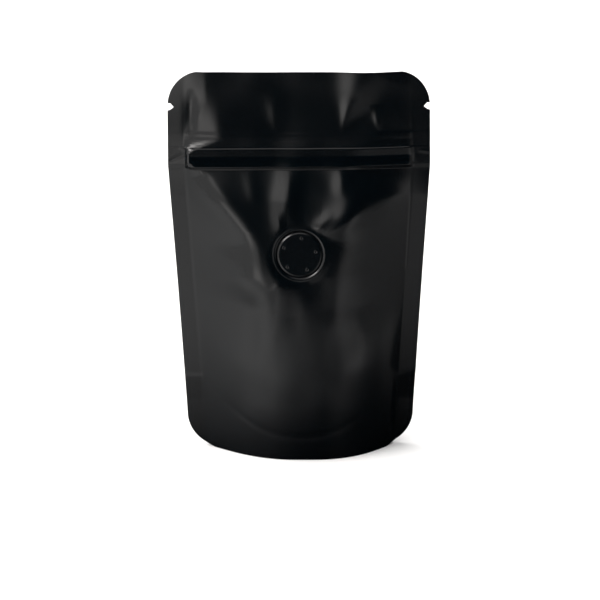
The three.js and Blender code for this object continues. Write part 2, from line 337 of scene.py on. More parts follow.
@dataclass(frozen=True)
class Shelf:
    """Half of a section above the belly: level in the middle, a bend, and a straight fall to the seal."""

    edge: Values
    bend: Values
    z: Values = (40.0, 60.0, 70.0, 78.0, 84.0, 91.0, 95.0, 100.0, 105.0, 110.0, 112.0, 119.0, 121.0, 147.0)
    soft: float = 1.8

    def height(self, share: Array, z: Array) -> Array:
        """Share of the middle's depth.

        The edge is where the level and the fall would meet. In the bend, which reaches as far to each side
        of it, the slope grows evenly.

        Args:
            share: Share of the way from the middle to the side seal.
            z: Heights.

        Returns:
            The share of the depth at each place, 0 at the seal.
        """
        edge = soft_line(z, self.z, self.edge, self.soft)
        bend = soft_line(z, self.z, self.bend, self.soft)
        past = np.clip((share - edge) / bend, -1.0, 1.0)
        fall = bend * (past + 1.0) ** 2 / 4.0 + np.clip(share - edge - bend, 0.0, None)
        return np.clip(1.0 - fall / (1.0 - edge), 0.0, None)


@dataclass(frozen=True)
class Filling:
    """How the contents and the zip part the films, as a depth from the middle plane."""

    belly: float = 21.0
    power: float = 3.0
    top: float = ZIP_BOTTOM
    tuck: float = 2.0
    tuck_top: float = 22.0
    round_power: float = 1.25
    puff: float = 3.2
    round_flat: Pair = (2.3, 3.0)
    left: Shelf = Shelf(
        edge=(0.30, 0.33, 0.48, 0.48, 0.45, 0.56, 0.65, 0.77, 0.85, 0.88, 0.98, 0.98, 0.70, 0.80),
        bend=(0.08, 0.10, 0.14, 0.14, 0.10, 0.12, 0.15, 0.17, 0.14, 0.11, 0.02, 0.02, 0.05, 0.06),
    )
    right: Shelf = Shelf(
        edge=(0.44, 0.35, 0.38, 0.41, 0.42, 0.46, 0.51, 0.55, 0.50, 0.50, 0.60, 0.70, 0.75, 0.90),
        bend=(0.40, 0.28, 0.23, 0.22, 0.21, 0.20, 0.22, 0.38, 0.48, 0.46, 0.36, 0.26, 0.20, 0.10),
    )
    shelf_from: Pair = (34.0, 67.0)

    def middle(self, z: Array, height: float) -> Array:
        """Depth in the middle of the pouch.

        It is the belly's low down, less by a power of the height up to the zip, and tucked in at the base.
        From the zip up the films come together in a straight wedge.

        Args:
            z: Heights.
            height: Height of the pouch.

        Returns:
            The depth at each height.
        """
        belly = (self.belly - self.puff) * (1.0 - unit(z / self.top) ** self.power)
        tuck = self.tuck * unit(1.0 - z / self.tuck_top) ** 2
        wedge = 1.0 - unit((z - self.top) / (height - self.top))
        return belly - tuck + self.puff * wedge

    def section(self, share: Array, z: Array) -> Array:
        """Share of the middle's depth on the way to a side seal.

        Round the belly it is a power of 1 less a power of the share. Further up it turns into a shelf.

        Args:
            share: Share of the way from the middle to a side seal, negative on the left.
            z: Heights.

        Returns:
            The share of the depth at each place.
        """
        on_left = share < 0.0
        share = unit(np.abs(share))
        belly = (1.0 - share ** np.where(on_left, *self.round_flat)) ** self.round_power
        shelf = np.where(on_left, self.left.height(share, z), self.right.height(share, z))
        return belly + (shelf - belly) * smoothstep(z, *self.shelf_from)


@dataclass(frozen=True)
class ZipStrip:
    """The zip as it shows through the film: a knurled weld, a band and a track, each a step out."""

    top: float = 124.3
    bottom: float = ZIP_BOTTOM
    knurl: Pair = (119.5, 123.2)
    crushed: float = 0.25
    soft: float = 0.1
    taut: Pair = (112.0, 115.8)
    step_z: Values = (110.7, 112.1, 112.7, 115.6, 116.0, 118.4, 118.7, 119.0, 119.4, 121.8, 124.0, 124.8)
    step_height: Values = (0.0, 1.06, 1.02, 0.73, 0.71, 0.84, 0.82, 0.48, 0.44, 0.18, 0.14, 0.0)

    def relief(self, z: Array, held: Array) -> Array:
        """Height of the zip's steps, crushed flatter on the side seals, where held falls from 1 to 0."""
        steps = soft_line(z, self.step_z, self.step_height, self.soft)
        return steps * (self.crushed + (1.0 - self.crushed) * held)


@dataclass(frozen=True)
class Gusset:
    """The base gusset: a seal in an arc on each panel, a skirt below it and a sagging film between."""

    arc_low: float = 9.3
    arc_rise: float = 19.0
    reach: float = 38.0
    pinch: float = 0.4
    pinch_half: float = 1.2
    pinch_reach: float = 22.0
    skirt: float = 0.45
    sag: float = 4.6
    least_gap: float = 0.08
    least_open: float = 0.03
    open_power: int = 8
    wall_rows: int = 13
    film_rows: int = 25
    layers: float = 0.12
    layers_ease: Pair = (0.5, -0.1)

    def arc(self, x: Array) -> Array:
        """Height of the seal's arc, a parabola that rises to the side seals."""
        return self.arc_low + self.arc_rise * (x / self.reach) ** 2

    def relief(self, x: Array, z: Array) -> Array:
        """The groove along the arc, a bell across it that fades by a bell towards the sides."""
        return -self.pinch * bell(x / self.pinch_reach) * bell((z - self.arc(x)) / self.pinch_half)

    def seal_layers(self, z: Array) -> Array:
        """Extra thickness of the side seals where the gusset's two layers lie between the films."""
        start, stop = (self.arc_low + self.arc_rise + off for off in self.layers_ease)
        return self.layers * smoothstep(z, start, stop)


@dataclass(frozen=True)
class ValveSeat:
    """Where the valve sits in the front film: a flat plane that leans back, with a round groove."""

    z: float
    disc_radius: float
    wall_radius: Values = (8.85, 9.0, 9.45, 9.7, 9.95, 10.6)
    wall_height: Values = (-0.8, -0.32, 0.0, 0.08, 0.08, 0.0)
    wall_soft: float = 0.06
    wall_margin: Pair = (0.05, 0.1)
    ring_steps: Triple = (2.3, 0.1, 0.75)
    sink: float = 0.15
    flat: float = 10.1
    blend: float = 12.6
    reach: float = 22.0

    @classmethod
    def of_node(cls, node: str) -> "ValveSeat":
        """The seat of a packed valve: its middle height and its radius."""
        low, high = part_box(node)
        return cls(z=(low.z + high.z) / 2.0 / MM, disc_radius=(high.x - low.x) / 2.0 / MM)

    @property
    def lip(self) -> float:
        """Radius just outside the groove's lip."""
        return self.wall_radius[-1] + self.wall_margin[1]

    def rings(self) -> Array:
        """Radii of the grid's rings round the valve, close together at the groove's wall and lip."""
        foot = self.wall_radius[0] - self.wall_margin[0]
        return stretches((0.0, foot, self.lip, self.blend), self.ring_steps)

    def relief(self, radius: Array) -> Array:
        """The groove's floor, its sloping wall and the low lip round it."""
        return soft_line(radius, self.wall_radius, self.wall_height, self.wall_soft)


@dataclass(frozen=True)
class Stance:
    """How the pouch's middle plane stands: the top leans back, its middle bows forward, the seals curl."""

    outline: Outline
    header_from: float
    lean_from: float = 100.0
    lean: float = 6.5
    lean_power: float = 1.2
    bow: float = 1.2
    bow_power: float = 1.5
    darts: tuple[Fold, ...] = HEADER_DARTS
    curl_z: Values = (27.5, 29.5, 99.0, 110.0, 126.0)
    curl_left: Values = (0.12, 0.14, 0.14, 0.14, 0.09)
    curl_right: Values = (0.12, -0.07, -0.07, 0.05, 0.05)
    curl_soft: float = 0.5
    curl_spread: float = 8.0
    spread_ease: Pair = (-3.0, 13.0)
    foot: Pair = (18.5, 28.3)
    foot_curl: Pair = (0.04, 0.2)
    foot_reach: Pair = (-3.0, 1.0)

    def plane(self, x: Array, z: Array) -> Array:
        """Where the middle plane is.

        It goes back by a power of the height above lean_from. In the header it comes forward by a parabola
        across, and in the darts.

        Args:
            x: Places across.
            z: Heights.

        Returns:
            The y of the plane at each place.
        """
        top = self.outline.height
        up = unit((z - self.lean_from) / (top - self.lean_from))
        header = unit((z - self.header_from) / (top - self.header_from))
        bow = self.bow * header**self.bow_power * (1.0 - (2.0 * x / self.outline.width) ** 2)
        dart = reliefs(self.darts, x, z)
        return self.lean * up**self.lean_power - bow - dart + self.seal_curl(x, z)

    def seal_curl(self, x: Array, z: Array) -> Array:
        """How far the seals curl back: by the way out from their inner line, and the way down at the foot.

        In the header the curl starts further in, up to curl_spread at the top.

        Args:
            x: Places across.
            z: Heights.

        Returns:
            How far each place is moved back.
        """
        left = soft_line(z, self.curl_z, self.curl_left, self.curl_soft)
        right = soft_line(z, self.curl_z, self.curl_right, self.curl_soft)
        out = np.abs(x) - self.outline.inner(z)
        down = (self.foot[1] - np.clip(z, *self.foot)) * smoothstep(out, *self.foot_reach)
        start, stop = (self.header_from + off for off in self.spread_ease)
        spread = self.curl_spread * smoothstep(z, start, stop)
        curl = np.where(x < 0.0, left, right) * np.clip(out + spread, 0.0, None)
        return curl + np.where(x < 0.0, *self.foot_curl) * down


@dataclass
class MeshParts:
    """Vertices and faces of a mesh as they are put together, with the masks for its finish."""

    points: list[Array] = field(default_factory=list)
    faces: list[Array] = field(default_factory=list)
    caps: list[list[int]] = field(default_factory=list)
    masks: dict[Mask, list[Array]] = field(default_factory=lambda: {mask: [] for mask in Mask})

    def add_points(self, points: Array, masks: dict[Mask, Array] | None = None) -> Array:
        """Adds a grid of points.

        Args:
            points: An array of shape (rows, columns, 3).
            masks: For each mask, its value at every point, or 0 where none is given.

        Returns:
            The new vertices' indices, of shape (rows, columns).
        """
        shape = points.shape[:2]
        index = sum(map(len, self.points)) + np.arange(math.prod(shape)).reshape(shape)
        self.points.append(points.reshape(-1, 3))
        for mask, values in self.masks.items():
            values.append((masks or {}).get(mask, np.zeros(shape)).reshape(-1))
        return index

    def add_grid(self, index: Array, flip: bool = False) -> None:
        """Adds the quads between the vertices of a grid, turned over if flip is set."""
        a, b, c, d = index[:-1, :-1], index[:-1, 1:], index[1:, 1:], index[1:, :-1]
        self.faces.append(np.stack((a, d, c, b) if flip else (a, b, c, d), axis=-1).reshape(-1, 4))

    def build(self, name: str, sharp_angle: float) -> Piece:
        """Makes the object, smooth but for its sharp edges.

        Args:
            name: Name of the piece.
            sharp_angle: Angle in degrees from which an edge is sharp.

        Returns:
            The new object, in the scene, at the origin.
        """
        points = np.concatenate(self.points) * MM
        faces = np.concatenate(self.faces).tolist() + self.caps
        mesh = bpy.data.meshes.new(name)
        mesh.from_pydata(points.tolist(), [], faces)
        mesh.polygons.foreach_set("use_smooth", np.ones(len(mesh.polygons), bool))
        for mask, values in self.masks.items():
            layer = mesh.attributes.new(mask.value, "FLOAT", "POINT")
            layer.data.foreach_set("value", np.concatenate(values).astype(np.float32))
        mesh.set_sharp_from_angle(angle=math.radians(sharp_angle))
        mesh.update()
        return link(bpy.data.objects.new(name, mesh))


class StandIn:
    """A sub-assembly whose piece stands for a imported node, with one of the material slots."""

    node: str
    slot: Slot

    def dress(self, piece: Piece, material: bpy.types.Material) -> None:
        """Gives the piece its material and its place in the frame.

        Args:
            piece: The built piece.
            material: Its material.
        """
        piece.data.materials.append(material)
        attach(piece, BODY)
        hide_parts(self.node)


@dataclass
class Pouch(StandIn):
    """The closed film body: front and back panels, their rim and the gusset under the base."""

    node = "pouch"
    slot = Slot.FILM
    outline: Outline
    valve: ValveSeat
    filling: Filling = Filling()
    zip_strip: ZipStrip = ZipStrip()
    gusset: Gusset = Gusset()
    outer_step: float = 0.75
    seal_step: float = 0.8
    corner_cut: float = 0.65
    corner_rows: int = 17
    arc_top: float = 31.0
    steps_below: Values = (0.65, 1.2)
    steps_above: Values = (0.8, 0.14, 0.6, 0.2)
    zip_margin: Pair = (1.0, 0.4)
    notch_margin: float = 0.01
    row_digits: int = 4
    seal_soft: float = 0.3
    taut_soft: float = 0.4
    hairline: float = 0.12
    rim_shares: Triple = (0.42, 0.5, 0.58)
    sharp_angle: float = 40.0

    @cached_property
    def stance(self) -> Stance:
        """How the middle plane stands, with its header above the zip."""
        return Stance(self.outline, self.zip_strip.top)

    def panel_depth(self, x: Array, z: Array, panel: Panel) -> Array:
        """Depth of a panel from the middle plane: seal, filling, zip, gusset seal, folds and marks.

        Args:
            x: Places across.
            z: Heights.
            panel: The panel's folds and slack.

        Returns:
            The depth at each place.
        """
        inner = self.outline.inner(z)
        share = self.filling.section(x / inner, z)
        held = unit(inner - np.abs(x))
        seal = self.outline.seal_thickness / 2.0 + self.gusset.seal_layers(z) * (1.0 - held)
        swell = self.filling.middle(z, self.outline.height) * share
        relief = self.zip_strip.relief(z, held) + self.gusset.relief(x, z) * held
        creases = panel.slack.relief(x, z) + reliefs(panel.folds, x, z)
        return seal + swell + relief + creases * np.sqrt(share) + reliefs(panel.marks, x, z)

    @cached_property
    def valve_plane(self) -> Pair:
        """Depth of the seat at the valve's middle, and the angle by which it leans back."""
        below, middle, above = self.panel_depth(np.zeros(3), self.valve.z + np.arange(-1.0, 2.0), BARE)
        return float(middle) - self.valve.sink, math.atan(float(below - above) / 2.0)

    def front_depth(self, x: Array, z: Array) -> Array:
        """Depth of the front film, pressed level across round the valve, with the valve's groove.

        Args:
            x: Places across.
            z: Heights.

        Returns:
            The depth at each place.
        """
        flat = self.panel_depth(np.zeros_like(x), z, BARE)
        radius = np.hypot(x, (z - self.valve.z) / math.cos(self.valve_plane[1]))
        free = self.panel_depth(x, z, FRONT)
        mixed = smoothstep(radius, self.valve.flat, self.valve.blend)
        return flat + (free - flat) * mixed + self.valve.relief(radius)

    def rows(self) -> Array:
        """Heights of the rows, close together at the corners, gusset arc, valve, zip and notches.

        Returns:
            The rising heights.
        """
        outline, seat, notch = self.outline, self.valve, self.outline.notch
        low = math.asin(outline.corner_inset / outline.corner_radius)
        turn = np.linspace(-low, 0.0, self.corner_rows)
        corner = outline.corner_inset + outline.corner_radius * np.sin(turn)
        rings = seat.rings() * math.cos(self.valve_plane[1])
        zip_low = self.zip_strip.bottom - self.zip_margin[0]
        zip_high = self.zip_strip.top + self.zip_margin[1]
        notch_low = notch.z - notch.height / 2.0 - 2.0 * self.notch_margin
        notch_high = notch.z + notch.height / 2.0
        below = (outline.corner_inset, self.arc_top, seat.z - rings[-1])
        above = (seat.z + rings[-1], zip_low, zip_high, notch_low, notch_high - self.notch_margin)
        heights = np.concatenate((
            corner,
            stretches(below, self.steps_below),
            seat.z - rings[::-1],
            [seat.z],
            seat.z + rings,
            stretches(above, self.steps_above),
            [notch_high + self.notch_margin],
            outline.height - corner[::-1],
        ))
        return np.unique(np.round(heights, self.row_digits))

    def columns(self, z: Array) -> Array:
        """Places of the columns on each row: the valve's rings, then even to the seal and the edge.

        Args:
            z: Heights of the rows.

        Returns:
            The x of every point, of shape (rows, columns).
        """
        outline, rings = self.outline, self.valve.rings()
        edge = outline.edge(z)[:, None]
        cut = unit((outline.side(z)[:, None] - edge) / outline.side_seal)
        seal = outline.side_seal * (1.0 - self.corner_cut * cut)
        inside = np.minimum(outline.inner(z)[:, None], edge - seal)
        outer = round((outline.inner(self.valve.z) - rings[-1]) / self.outer_step)
        seals = round(outline.side_seal / self.seal_step)
        share_out = np.linspace(0.0, 1.0, outer + 1)[1:]
        share_seal = np.linspace(0.0, 1.0, seals + 1)[1:]
        right = np.concatenate((
            np.broadcast_to(rings, (len(z), len(rings))),
            rings[-1] + (inside - rings[-1]) * share_out,
            inside + (edge - inside) * share_seal,
        ), axis=1)
        return np.concatenate((-right[:, ::-1], np.zeros((len(z), 1)), right), axis=1)

    def round_valve(self, x: Array, z: Array) -> tuple[Array, Array]:
        """Bends square rings of the grid into circles round the valve, less and less out to its reach.

        Args:
            x: Places across.
            z: Heights.

        Returns:
            The bent x and z.
        """
        up = (z - self.valve.z) / math.cos(self.valve_plane[1])
        ring = np.maximum(np.abs(x), np.abs(up))
        away = np.maximum(np.hypot(x, up), TINY)
        ease = smoothstep(ring, self.valve.lip, self.valve.reach)
        scale = np.where(ring > 0.0, ring / away, 1.0) * (1.0 - ease) + ease
        return x * scale, self.valve.z + (z - self.valve.z) * scale

    def build(self) -> Piece:
        """Puts the films together into one closed mesh.

        Returns:
            The pouch's piece.
        """
        z_row = self.rows()
        x = self.columns(z_row)
        z = np.broadcast_to(z_row[:, None], x.shape)
        parts = MeshParts()
        masks = self.finish_masks(x, z)
        front_x, front_z = self.round_valve(x, z)
        front_y = self.stance.plane(front_x, front_z) - self.front_depth(front_x, front_z)
        front = parts.add_points(np.stack((front_x, front_y, front_z), axis=-1), masks)
        back_y = self.stance.plane(x, z) + self.panel_depth(x, z, BACK)
        back = parts.add_points(np.stack((x, back_y, z), axis=-1), masks)
        parts.add_grid(front)
        parts.add_grid(back, flip=True)
        rim = self.add_rim(parts, front, back)
        self.add_base(parts, front[0], back[0], rim, x[0])
        return parts.build("pouch_film", self.sharp_angle)

    def finish_masks(self, x: Array, z: Array) -> dict[Mask, Array]:
        """Masks for the finish, eased at their edges: side seals, the zip's weld, and its taut track.

        Args:
            x: Places across.
            z: Heights.

        Returns:
            Each mask's values.
        """
        inner = self.outline.inner(z)
        low, high = self.zip_strip.knurl
        start, stop = self.zip_strip.taut
        soft, wide = self.seal_soft, self.taut_soft
        seal = smoothstep(np.abs(x), inner - soft, inner + soft)
        knurl = smoothstep(z, low, low + soft) * smoothstep(z, high, high - soft)
        taut = smoothstep(z, start - wide, start + wide) * smoothstep(z, stop + wide, stop - wide)
        return {Mask.SEAL: seal, Mask.KNURL: knurl * (1.0 - seal), Mask.TAUT: taut * (1.0 - seal)}

    def add_rim(self, parts: MeshParts, front: Array, back: Array) -> Array:
        """Joins the panels round the sides and the top, with a hairline sunk between the two films.

        Args:
            parts: The mesh in the making.
            front: Indices of the front panel's grid.
            back: Indices of the back panel's grid.

        Returns:
            Indices of the rim's vertices between the panels, from left to right.
        """
        edges = [np.concatenate((film[:, 0], film[-1, 1:-1], film[::-1, -1])) for film in (front, back)]
        near, far = np.concatenate(parts.points)[np.stack(edges)]
        along = np.gradient((near + far) / 2.0, axis=0)
        inwards = np.stack((along[:, 2], np.zeros(len(along)), -along[:, 0]), axis=1)
        inwards /= np.linalg.norm(inwards, axis=1, keepdims=True)
        steps = zip(self.rim_shares, (0.0, self.hairline, 0.0))
        between = np.stack([near + (far - near) * share + inwards * sink for share, sink in steps])
        index = parts.add_points(between)
        parts.add_grid(np.concatenate((edges[:1], index, edges[1:])))
        return index

    def add_base(self, parts: MeshParts, front: Array, back: Array, rim: Array, x: Array) -> None:
        """Closes the base: inside both skirts up to the gusset's film, which sags between them.

        The inner wall keeps the skirt's thickness from the panel, up to the arc. The film runs from wall
        to wall and sags by a parabola. Towards the corners the hollow closes.

        Args:
            parts: The mesh in the making.
            front: Indices of the front panel's lowest row.
            back: Indices of the back panel's lowest row.
            rim: Indices of the rim between the panels.
            x: Places of the lowest row.
        """
        gusset = self.gusset
        way = np.abs(x / x[-1])
        opened = 1.0 - (1.0 - gusset.least_open) * way**gusset.open_power
        height = gusset.arc(x) * opened
        wall = np.linspace(0.0, 1.0, gusset.wall_rows)[:, None] * height
        across = np.broadcast_to(x, wall.shape)
        depth = self.panel_depth(across, wall, BARE) - gusset.skirt
        gap = gusset.least_gap + opened * np.maximum(depth - gusset.least_gap, 0.0)
        share = np.linspace(-1.0, 1.0, gusset.film_rows)[1:-1, None]
        film_z = height - gusset.sag * opened**2 * (1.0 - share**2) * (1.0 - way**2)
        y = np.concatenate((-gap, share * gap[-1], gap[::-1]))
        z = np.concatenate((wall, film_z, wall[::-1]))
        inner = parts.add_points(np.stack((np.broadcast_to(x, y.shape), y, z), axis=-1))
        sheet = np.concatenate((front[None], inner, back[None]))
        parts.add_grid(sheet, flip=True)
        ends = (sheet[:, 0], rim[::-1, 0]), (sheet[::-1, -1], rim[:, -1])
        parts.caps += [np.concatenate(end).tolist() for end in ends]


@dataclass
class ValveDisc(StandIn):
    """The valve's disc: its face flush with the film, a chamfered rim, and pricked pin holes."""

    node = "degassing_valve"
    slot = Slot.VALVE
    radius: float
    height: float = 0.75
    chamfer: float = 0.45
    drop: float = 0.26
    edge: float = 0.12
    foot_flare: float = 0.05
    pins: int = 5
    pin_circle: float = 6.4
    pin_radius: float = 0.22
    pin_depth: float = 0.3
    pin_burr: float = 0.25
    burr_at: float = 2.0
    pin_turn: float = 82.0
    pin_band: float = 0.9
    face_steps: Triple = (0.9, 0.09, 0.3)
    bend_rows: int = 4
    fall_rows: int = 5
    sides: int = 360
    sharp_angle: float = 50.0

    def profile(self) -> tuple[Array, Array]:
        """Radii and heights from the face's middle, over a chamfer with a round bend, to the foot.

        Returns:
            The radii, and the heights above the face.
        """
        shoulder = self.radius - self.chamfer - self.edge
        stops = (0.0, self.pin_circle - self.pin_band, self.pin_circle + self.pin_band, shoulder)
        face = stretches(stops, self.face_steps)
        lean = math.atan2(self.drop, self.chamfer)
        turn = np.linspace(0.0, lean, self.bend_rows)[1:]
        bend_r = shoulder + self.edge * np.sin(turn) / math.sin(lean)
        bend_h = -self.edge * (1.0 - np.cos(turn)) / math.sin(lean)
        fall = np.linspace(0.0, 1.0, self.fall_rows)[1:]
        fall_r = bend_r[-1] + (self.radius - bend_r[-1]) * fall
        fall_h = bend_h[-1] - self.drop * fall
        radius = np.concatenate((face, bend_r, fall_r, [self.radius + self.foot_flare]))
        return radius, np.concatenate((np.zeros_like(face), bend_h, fall_h, [-self.height]))

    def build(self, pouch: Pouch) -> Piece:
        """Makes the disc on the valve's leaning plane.

        Args:
            pouch: The pouch whose front film holds the valve.

        Returns:
            The valve's piece.
        """
        depth, lean = pouch.valve_plane
        radius, height = self.profile()
        turn = np.linspace(0.0, 2.0 * math.pi, self.sides, endpoint=False)
        u = radius[:, None] * np.cos(turn)
        v = radius[:, None] * np.sin(turn)
        h = height[:, None] + self.pin_holes(u, v)
        y = -depth - h * math.cos(lean) + v * math.sin(lean)
        z = pouch.valve.z + v * math.cos(lean) + h * math.sin(lean)
        parts = MeshParts()
        index = parts.add_points(np.stack((u, y, z), axis=-1))
        parts.add_grid(np.concatenate((index, index[:, :1]), axis=1), flip=True)
        parts.caps += [index[0].tolist(), index[-1, ::-1].tolist()]
        return parts.build("valve_disc", self.sharp_angle)

    def pin_holes(self, u: Array, v: Array) -> Array:
        """Relief of the pin holes: a bell-shaped prick each, with a low burr round it.

        Args:
            u: Places across the face.
            v: Places up the face.

        Returns:
            How far the face is raised at each place.
        """
        total = np.zeros_like(u)
        for angle in math.radians(self.pin_turn) + 2.0 * math.pi * np.arange(self.pins) / self.pins:
            pin_u, pin_v = self.pin_circle * math.cos(angle), self.pin_circle * math.sin(angle)
            away = np.hypot(u - pin_u, v - pin_v) / self.pin_radius
            total -= self.pin_depth * bell(away)
            total += self.pin_burr * self.pin_depth * bell(away - self.burr_at)
        return total


@dataclass
class NodeWeb:
    """A node tree with short calls that add nodes and join them."""

    tree: Tree

    def add(self, kind: str, inputs: Inputs, **settings: object) -> Node:
        """Adds a node.

        Args:
            kind: Type of the node.
            inputs: What is fed to its inputs.
            settings: Settings of the node itself.

        Returns:
            The new node.
        """
        node = self.tree.nodes.new(kind)
        for name, value in settings.items():
            setattr(node, name, value)
        self.feed(node, inputs)
        return node

    def feed(self, node: Node, inputs: Inputs) -> None:
        """Links or sets a node's inputs.

        Args:
            node: The node.
            inputs: For each input, a socket to link to it or a constant.
        """
        for key, value in inputs.items():
            if isinstance(value, Socket):
                self.tree.links.new(value, node.inputs[key])
            else:
                node.inputs[key].default_value = value

    def math(self, operation: str, *values: Socket | float) -> Socket:
        """Adds a maths node on one to three values and returns its output."""
        return self.add("ShaderNodeMath", dict(enumerate(values)), operation=operation).outputs[0]

    def ease(self, value: Socket, low: float, high: float, start: float = 0.0, end: float = 1.0) -> Socket:
        """Eases from start, where the value is low, to end, where it is high."""
        inputs = {"Value": value, "From Min": low, "From Max": high, "To Min": start, "To Max": end}
        return self.add("ShaderNodeMapRange", inputs, interpolation_type="SMOOTHSTEP").outputs["Result"]

    def heading(self, way: Socket) -> tuple[Socket, Socket]:
        """Azimuth of a place in degrees from the y axis, alike in front and behind, and its z."""
        x, y, z = self.add("ShaderNodeSeparateXYZ", {"Vector": way}).outputs
        return self.math("DEGREES", self.math("ARCTAN2", x, self.math("ABSOLUTE", y))), z


def new_group(name: str, sizes: Names, outputs: Names) -> tuple[NodeWeb, Node]:
    """Starts a shader node group that reads a place and some sizes.

    Args:
        name: Name of the group.
        sizes: Names of the sizes.
        outputs: Names of the values that it gives.

    Returns:
        The group's tree and its input node.
    """
    tree = bpy.data.node_groups.new(name, "ShaderNodeTree")
    tree.interface.new_socket("Vector", in_out="INPUT", socket_type="NodeSocketVector")
    for way, sockets in (("INPUT", sizes), ("OUTPUT", outputs)):
        for socket in sockets:
            tree.interface.new_socket(socket, in_out=way, socket_type="NodeSocketFloat")
    web = NodeWeb(tree)
    return web, web.add("NodeGroupInput", {})


def knurl_group() -> Tree:
    """Height of raised diamonds: the product of sines along both diagonals of x and z.

    Returns:
        The node group.
    """
    web, given = new_group("diamond_knurl", ("Pitch", "Depth"), ("Height",))
    x, _, z = web.add("ShaderNodeSeparateXYZ", {"Vector": given.outputs["Vector"]}).outputs
    waves = []
    for operation in ("ADD", "SUBTRACT"):
        turns = web.math("DIVIDE", web.math(operation, x, z), given.outputs["Pitch"])
        waves.append(web.math("SINE", web.math("MULTIPLY", turns, 2.0 * math.pi)))
    height = web.math("MULTIPLY", web.math("MULTIPLY", *waves), given.outputs["Depth"])
    web.add("NodeGroupOutput", {"Height": height})
    return web.tree


def grain_group() -> Tree:
    """Height of the film's fine grain, a noise, and a wider noise from 0 to 1 for uneven patches.

    Returns:
        The node group.
    """
    web, given = new_group("film_grain", ("Size", "Depth"), ("Height", "Patches"))
    place = given.outputs["Vector"]
    scale = web.math("DIVIDE", 1.0, given.outputs["Size"])
    inputs = {"Vector": place, "Scale": scale, "Detail": GRAIN_DETAIL}
    fine = web.add("ShaderNodeTexNoise", inputs).outputs["Fac"]
    inputs = {"Vector": place, "Scale": PATCHES_PER_METRE, "Detail": PATCH_DETAIL}
    wide = web.add("ShaderNodeTexNoise", inputs).outputs["Fac"]
    height = web.math("MULTIPLY", fine, given.outputs["Depth"])
    web.add("NodeGroupOutput", {"Height": height, "Patches": wide})
    return web.tree


@dataclass(frozen=True)
class FilmFinish:
    """A finish of the black laminate film. Lengths are in metres."""

    name: str
    roughness: float
    colour: Triple = (0.0004, 0.0014, 0.0022)
    patchiness: float = 0.05
    seal_roughness: float = 0.03
    taut_roughness: float = -0.08
    grain_size: float = 0.0007
    grain_depth: float = 0.000004
    knurl_pitch: float = 0.0008
    knurl_depth: float = 0.000008

    def material(self, grain: Tree, knurl: Tree) -> bpy.types.Material:
        """Makes the material: near black, with uneven gloss, fine grain and the knurl of the zip.

        Args:
            grain: The node group of the grain.
            knurl: The node group of the knurl.

        Returns:
            The material.
        """
        material = bpy.data.materials.new(self.name)
        material.use_nodes = True
        web = NodeWeb(material.node_tree)
        place = web.add("ShaderNodeTexCoord", {}).outputs["Object"]
        seal, weld, taut = (
            web.add("ShaderNodeAttribute", {}, attribute_name=mask.value).outputs["Fac"] for mask in Mask
        )
        sizes = {"Vector": place, "Size": self.grain_size, "Depth": self.grain_depth}
        film = web.add("ShaderNodeGroup", sizes, node_tree=grain).outputs
        sizes = {"Vector": place, "Pitch": self.knurl_pitch, "Depth": self.knurl_depth}
        diamonds = web.add("ShaderNodeGroup", sizes, node_tree=knurl).outputs["Height"]
        height = web.math("ADD", film["Height"], web.math("MULTIPLY", diamonds, weld))
        bump = web.add("ShaderNodeBump", {"Strength": 1.0, "Distance": 1.0, "Height": height})
        uneven = web.math("MULTIPLY_ADD", film["Patches"], self.patchiness, self.roughness)
        sealed = web.math("MULTIPLY_ADD", seal, self.seal_roughness, uneven)
        gloss = web.math("MULTIPLY_ADD", taut, self.taut_roughness, sealed)
        web.feed(material.node_tree.nodes["Principled BSDF"], {
            "Base Color": (*self.colour, 1.0),
            "Roughness": gloss,
            "Normal": bump.outputs["Normal"],
        })
        return material


@dataclass(frozen=True)
class Softbox:
    """A bright part of the surroundings, alike in front and behind, with its edges in degrees."""

    across: Pair
    up: Pair
    radiance: float
    soft: float = 4.0

    def glow(self, web: NodeWeb, azimuth: Socket, elevation: Socket) -> Socket:
        """Its radiance in a direction, full between its edges, which are soft.

        Args:
            web: The tree to add to.
            azimuth: Angle to the right of the y axis in degrees.
            elevation: Angle above the horizon in degrees.

        Returns:
            The radiance.
        """
        total = self.radiance
        for angle, (low, high) in ((azimuth, self.across), (elevation, self.up)):
            inside = web.math("MULTIPLY", web.ease(angle, low - self.soft, low + self.soft), total)
            total = web.math("MULTIPLY", web.ease(angle, high + self.soft, high - self.soft), inside)
        return total


